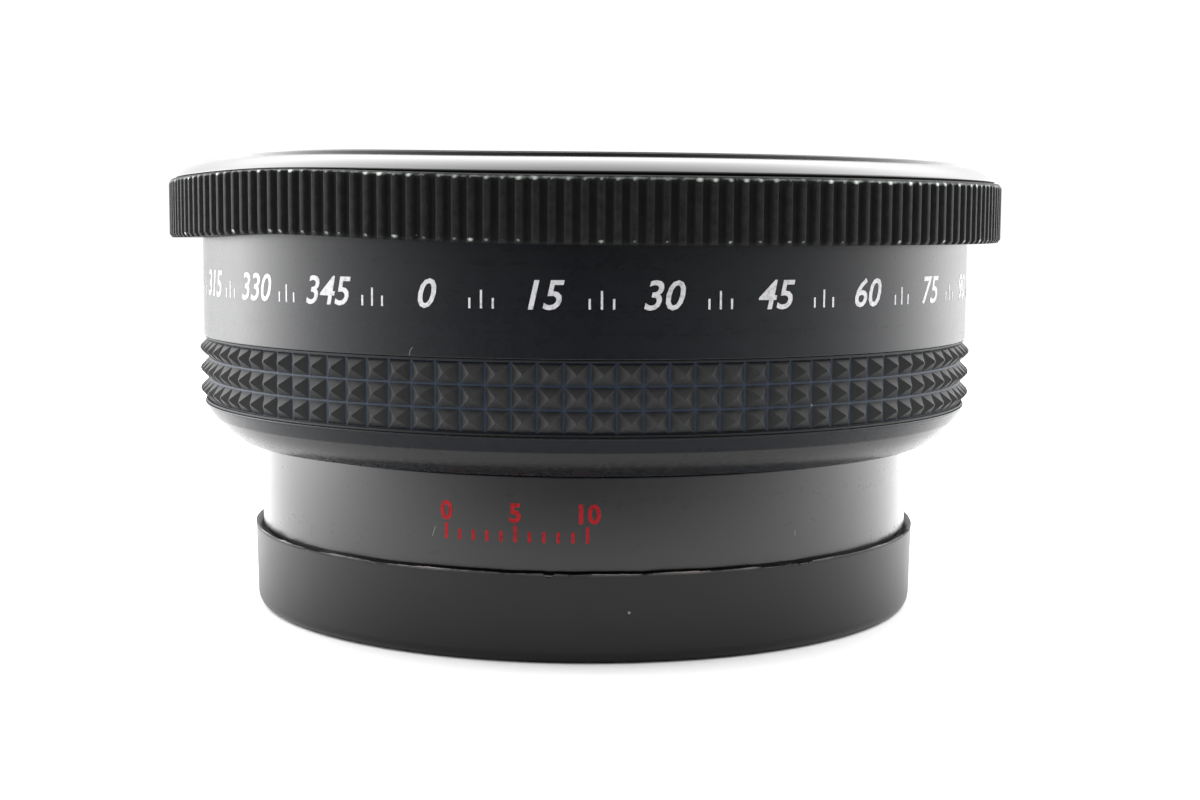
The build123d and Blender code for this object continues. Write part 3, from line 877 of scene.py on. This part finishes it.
rubber_face = grip_rubber.blend(
    rubber_grain * 0.4 + rubber_bloom * 0.6, (0.0085, 0.009, 0.01, 1), (0.025, 0.025, 0.0256, 1)
)
rubber_height = grip_rubber.height()
# Painted shade: the plain borders below and above the pyramid rows are painted near black, standing in for
# the shadow where the sleeve meets the barrel.
painted_shade_below = grip_rubber.ramp(
    rubber_height, grip_low + grip_border, grip_low + grip_border + 0.05, 1.0, 0.0
)
painted_shade_above = grip_rubber.ramp(rubber_height, grip_high - grip_border - 0.05, grip_high - grip_border)
rubber_tone = grip_rubber.blend(rubber_groove, rubber_face, (0.013, 0.022, 0.038, 1))
rubber_tone = grip_rubber.blend(painted_shade_below + painted_shade_above, rubber_tone, (0.0015, 0.002, 0.003, 1))
red_speck = grip_rubber.spot(-19.33, 35.16, 18.79, 0.16)
grip_rubber.give(
    Base_Color=grip_rubber.blend(
        red_speck, grip_rubber.blend(rubber_dust, rubber_tone, pale_dust), (0.4, 0.02, 0.03, 1)
    ),
    Normal=grip_rubber.bump(rubber_grain, 0.00004, 0.35),
)
show(grip_mesh, grip_rubber, "wide_section", "grip_ring", slot="grip_rubber")


# Second lens in its cell
# A plano-concave glass in a turned black cell that drops into the barrel from the front.
refinish(black_anodised, "inner_cell", "lens_spacer", "light_stop")
second_front, second_rear, second_radius = 22.4, 18.9, 23.0
second_hollow_radius, second_hollow_depth = 20.0, 2.0
second_glass = np.vstack(
    [
        dome(second_hollow_radius, second_hollow_depth, second_rear + second_hollow_depth),
        eased(
            (second_hollow_radius, second_rear),
            (second_radius, second_rear, 0.2),
            (second_radius, second_front, 0.2),
            (0, second_front),
            closed=False,
        )[1:-1],
        [(0, second_front)],
    ]
)
second_glass_mesh = turned("second_glass", second_glass, 180)
show(second_glass_mesh, coated_glass, "wide_section", "second_lens", slot="coated_glass")


# Front lens
# The large negative meniscus, domed to the front and deeply hollow behind, on a thin rubber gasket.
front_vertex, front_edge, front_rear, front_radius = 36.8, 31.65, 25.65, 30.9
hollow_radius, hollow_depth = 26.0, 8.7
front_glass = np.vstack(
    [
        dome(hollow_radius, hollow_depth, front_rear + hollow_depth, 60),
        eased(
            (hollow_radius, front_rear),
            (front_radius, front_rear, 0.2),
            (front_radius, front_edge, 0.1),
            (0, front_vertex),
            closed=False,
        )[1:-1],
        dome(front_radius, front_vertex - front_edge, front_vertex, 70)[:-1][::-1],
    ]
)
front_glass_mesh = turned("front_glass", front_glass, 240)
show(front_glass_mesh, coated_glass, "wide_section", "front_lens", slot="coated_glass")
gasket_rubber = Finish("gasket_rubber", Roughness=0.6, Specular_IOR_Level=0.3)
gasket_tone = gasket_rubber.noise(3000, 3)
gasket_rubber.give(
    Base_Color=gasket_rubber.blend(gasket_tone, (0.01, 0.01, 0.01, 1), (0.025, 0.025, 0.025, 1)),
    Normal=gasket_rubber.bump(gasket_tone, 0.00003, 0.4),
)
refinish(gasket_rubber, "front_lens_gasket")


# Filter ring and trim ring
# The threaded ring that holds the front glass in, with a thin rim inside the crown's bore, and the black cone
# inside it, which keeps its CAD shape.
rim_radius, filter_bore, filter_male, cone_bore = 33.0, 30.6, 32.25, 28.9
rim_top, filter_seat, filter_thread_foot, filter_foot, cone_foot = 40.2, 36.05, 36.9, 32.8, 33.63
filter_outline = eased(
    (cone_bore, filter_foot, 0.05),
    (filter_male, filter_foot, 0.1),
    (filter_male, filter_seat, 0.05),
    (rim_radius, filter_seat, 0.05),
    (rim_radius, rim_top, 0.12),
    (filter_bore + thread_depth, rim_top, 0.15),
    (filter_bore + thread_depth, filter_thread_foot, 0.05),
    (filter_bore, filter_thread_foot - 0.1, 0.05),
    (cone_bore, cone_foot, 0.05),
)
knock_azimuth, knock_width = -40, 21


def knocked(azimuth, radius, height):
    """The front ring is bent up by a knock left of the front: a hump exp(-((azimuth - middle) / width)^2),
    most at the top of the serrated edge and least at the rim."""
    hump = np.exp(-(((azimuth - knock_azimuth) / knock_width) ** 2))
    return hump * np.interp(height, [knurl_low, 38.0, 38.6, rim_top], [0.58, 0.7, 0.36, 0.27])


def knocked_rim(azimuth, radius, height):
    """Only the top of the rim follows the knock."""
    return knocked(azimuth, radius, height) * (height > rim_top - 0.5)


filter_mesh = turned("filter_rim", filter_outline)
reshape(filter_mesh, knocked_rim)
show(filter_mesh, black_anodised, "wide_section", "filter_ring", slot="black_anodised")
filter_thread = thread(
    "filter_thread_turns", filter_bore, thread_depth, filter_thread_foot, rim_top - 0.1, inward=True
)
show(filter_thread, black_anodised, "wide_section", slot="black_anodised")
refinish(black_anodised, "trim_ring")


# Knurled front ring
# Turned aluminium with straight serrations cut round its edge and a rounded crown, dyed black.
# Its anodising is worn through to bare metal on the corners of the serrations.
knurl_teeth, groove_depth = 196, 0.35
ring_bore, ring_neck = 33.05, 34.35
land_share, wall_share, corner_share, corner_depth = 0.38, 0.12, 0.05, 0.025
tooth_cuts = np.array([0, 0.07, 0.19, 0.31, 0.38, 0.5, 0.88])
tooth_phase = np.tile(tooth_cuts, knurl_teeth)
tooth_number = np.repeat(np.arange(knurl_teeth), len(tooth_cuts))
knurl_angle = 2 * np.pi * (tooth_number + tooth_phase) / knurl_teeth


def serration(phase):
    """Depth over one pitch as a share of the groove's: nought on the land, whose ends fall by edge, and one
    on the flat groove floor. With w the way across a wall, the depth there is edge + (1 - edge) w^0.8."""
    edge = corner_depth / groove_depth
    from_land = np.minimum(phase - land_share, 1 - phase)
    wall = np.clip(from_land / wall_share, 0, 1)
    to_edge = np.minimum(phase, land_share - phase)
    corner = edge * np.clip(1 - to_edge / corner_share, 0, 1)
    return np.where(from_land > 0, wall**0.8 * (1 - edge) + edge, corner)


band_top, band_shoulder = 38.02, 38.34
# Each row of the serrated band is a radius, a height, the share of the groove's depth that is cut there, and
# how worn the lands are at it: the grooves run out under a worn shoulder.
band_rows = np.array(
    [
        (ring_neck, knurl_low, 0.0, 0.0),
        (knurl_radius - 0.24, knurl_low, 0.9, 0.4),
        (knurl_radius - 0.05, knurl_low + 0.24, 1.0, 0.85),
        (knurl_radius, knurl_low + 0.34, 1.0, 0.85),
        (knurl_radius, knurl_low + 0.5, 1.0, 0.1),
        (knurl_radius, band_top - 0.3, 1.0, 0.05),
        (knurl_radius, band_top - 0.08, 0.8, 0.85),
        (knurl_radius - 0.03, band_top + 0.05, 0.3, 1.0),
        (knurl_radius - 0.1, band_top + 0.15, 0.05, 0.6),
        (knurl_radius - 0.25, band_shoulder, 0.0, 0.1),
        (ring_neck, band_shoulder, 0.0, 0.0),
    ]
)
band_radius = np.minimum(
    band_rows[:, :1], knurl_radius - groove_depth * serration(tooth_phase)[None, :] * band_rows[:, 2:3]
)
band_points = np.stack(
    [
        band_radius * np.cos(knurl_angle),
        band_radius * np.sin(knurl_angle),
        np.repeat(band_rows[:, 1:2], len(knurl_angle), axis=1),
    ],
    axis=-1,
) * mm
band_mesh = grid_mesh("serrated_band", band_points, closed_rows=True)
tooth_wear = 0.58 + 0.42 * hand.random(knurl_teeth) ** 2.0
foot_wear = 0.5 + 0.45 * hand.random(knurl_teeth) ** 3
land_middle, land_wear_width = land_share / 2, 0.17
from_middle = (tooth_phase - land_middle + 0.5) % 1 - 0.5
on_land = 0.5 + 0.5 * np.exp(-((from_middle / land_wear_width) ** 2))
at_foot = band_rows[:, 1:2] < knurl_low + 1
row_wear = np.where(at_foot, foot_wear[tooth_number], tooth_wear[tooth_number])
edge_wear = row_wear * band_rows[:, 3:] * on_land
at_shoulder = (band_rows[:, 1:2] > band_top) & (band_rows[:, 3:] > 0.5)
least_shoulder_wear = 0.53
edge_wear = np.where(at_shoulder, np.maximum(edge_wear, least_shoulder_wear), edge_wear)
band_mesh.attributes.new("worn", "FLOAT", "POINT").data.foreach_set("value", edge_wear.ravel())
band_mesh.attributes.new("cut", "FLOAT", "POINT").data.foreach_set("value", np.ones(edge_wear.size))

# The crown is a shallow arc from its edge up to a thin lip, and a sill under its edge stands in the band.
crown_low, crown_edge, crown_crest, crown_bow = 38.55, 37.4, 39.76, 0.3
lip_radius, lip_top, lip_width = 34.95, 40.04, 0.3
sill_radius, sill_foot = crown_edge - 0.14, band_shoulder - 0.02
crown_outline = np.vstack(
    [
        [(ring_neck, sill_foot), (sill_radius, sill_foot)],
        [(sill_radius, crown_low - 0.08), (crown_edge - 0.05, crown_low - 0.06)],
        bowed((crown_edge, crown_low), (lip_radius + 0.05, crown_crest), crown_bow, 22),
        eased(
            (lip_radius + 0.05, crown_crest),
            (lip_radius, crown_crest, 0.01),
            (lip_radius, lip_top, 0.04),
            (lip_radius - lip_width, lip_top, 0.06),
            (lip_radius - 0.4, crown_crest, 0.08),
            (ring_bore, crown_crest, 0.1),
            (ring_bore, filter_seat, 0.05),
            (ring_neck, filter_seat, 0.05),
            (ring_neck, sill_foot),
            closed=False,
        )[1:-1],
    ]
)
crown_mesh = turned("crown", crown_outline, 588)
both = bmesh.new()
for mesh in (band_mesh, crown_mesh):
    both.from_mesh(mesh)
ring_mesh = bpy.data.meshes.new("serrated_ring")
both.to_mesh(ring_mesh)
both.free()
reshape(ring_mesh, knocked)
worn_black_anodised = anodised(
    "worn_black_anodised",
    (0.0075, 0.0075, 0.0078, 1),
    (0.011, 0.011, 0.0114, 1),
    roughness=0.3,
    rings=0.1,
    dust_share=0.03,
    gloss=0.06,
    coat=1.0,
    worn="worn",
    Coat_IOR=1.6,
)
show(ring_mesh, worn_black_anodised, "wide_section", "front_ring", slot="worn_black_anodised")


# Studio
# A white table whose near edge is just out of the picture, and a soft white surround: bright at both sides
# and overhead, dim behind the camera.
table_radius, table_centre, table_sides = 0.2, 0.115, 128
table_angle = np.linspace(0, 2 * np.pi, table_sides, endpoint=False)
table_mesh = bpy.data.meshes.new("table")
table_edge = np.stack(
    [
        table_radius * np.cos(table_angle),
        table_centre + table_radius * np.sin(table_angle),
        0 * table_angle,
    ],
    axis=-1,
)
table_mesh.from_pydata(table_edge.tolist(), [], [list(range(table_sides))])
table = bpy.data.objects.new("table", table_mesh)
bpy.context.collection.objects.link(table)
table_finish = Finish("table_white", Roughness=0.9, Specular_IOR_Level=0.0)
table_finish.give(
    Base_Color=table_finish.blend(table_finish.noise(30, 2), (0.84, 0.84, 0.84, 1), (0.86, 0.86, 0.86, 1))
)
table_mesh.materials.append(table_finish.material)

world = bpy.data.worlds.new("surround")
bpy.context.scene.world = world
world.use_nodes = True
surround = Nodes(world.node_tree)
side, ahead, height = surround.parts(surround.node("ShaderNodeTexCoord", {}, output="Generated"))
level = (side * side + ahead * ahead) ** 0.5
half_turn = surround.node("ShaderNodeMath", {"operation": "ARCCOSINE"}, (0 - ahead) / level) / np.pi
strongest = 12.0


def lights_round(stops):
    """Brightness of the surround over half a turn, from stops (degrees from the camera's side,
    brightness)."""
    ramp = surround.tree.nodes.new("ShaderNodeValToRGB")
    elements = ramp.color_ramp.elements
    while len(elements) < len(stops):
        elements.new(0.5)
    for element, (degrees, strength) in zip(elements, stops):
        element.position = degrees / 180
        element.color = (strength / strongest,) * 3 + (1,)
    surround.tree.links.new(half_turn.socket, ramp.inputs[0])
    return Value(surround, ramp.outputs[0]) * strongest


near_stops, far_stop = [(0, 0.1), (30, 0.35)], (180, 1.05)
left_stops = [(48, 0.9), (66, 1.9), (84, 4.0), (100, 7.6), (116, 8.6), (130, 4.4), (147, 1.8)]
right_stops = [(50, 0.7), (68, 1.2), (92, 2.7), (110, 4.6), (128, 4.3), (142, 2.9), (160, 1.5)]
left = lights_round([*near_stops, *left_stops, far_stop])
right = lights_round([*near_stops, *right_stops, far_stop])
is_right = surround.ramp(side, -0.1, 0.1)
around_light = left * (1 - is_right) + right * is_right
overhead = surround.ramp(ahead, -0.45, 0.15, 0.8, 5.6)
upward_share = surround.ramp(height, 0.36, 0.64)
strength = around_light * (1 - upward_share) + overhead * upward_share
camera_ray = surround.node("ShaderNodeLightPath", {}, output="Is Camera Ray")
backdrop = 1.05
strength = strength * (1 - camera_ray) + camera_ray * backdrop
background = world.node_tree.nodes["Background"]
background.inputs["Color"].default_value = (1, 1, 1, 1)
surround.tree.links.new(strength.socket, background.inputs["Strength"])

camera = bpy.data.objects.new("camera", bpy.data.cameras.new("camera"))
camera.data.sensor_width = 36
camera.data.lens = 55.05
camera.data.clip_start = 0.005
camera_place = (0.00143, -0.1728, 0.03528)
camera_pitch, camera_roll = np.radians(90 - 5.70), 0.0062
camera.matrix_world = Matrix.Translation(camera_place) @ (
    Euler((camera_pitch, 0, 0)).to_matrix() @ Matrix.Rotation(camera_roll, 3, "Z")
).to_4x4()
bpy.context.collection.objects.link(camera)
bpy.context.scene.camera = camera
bpy.context.scene.view_settings.view_transform = "Standard"
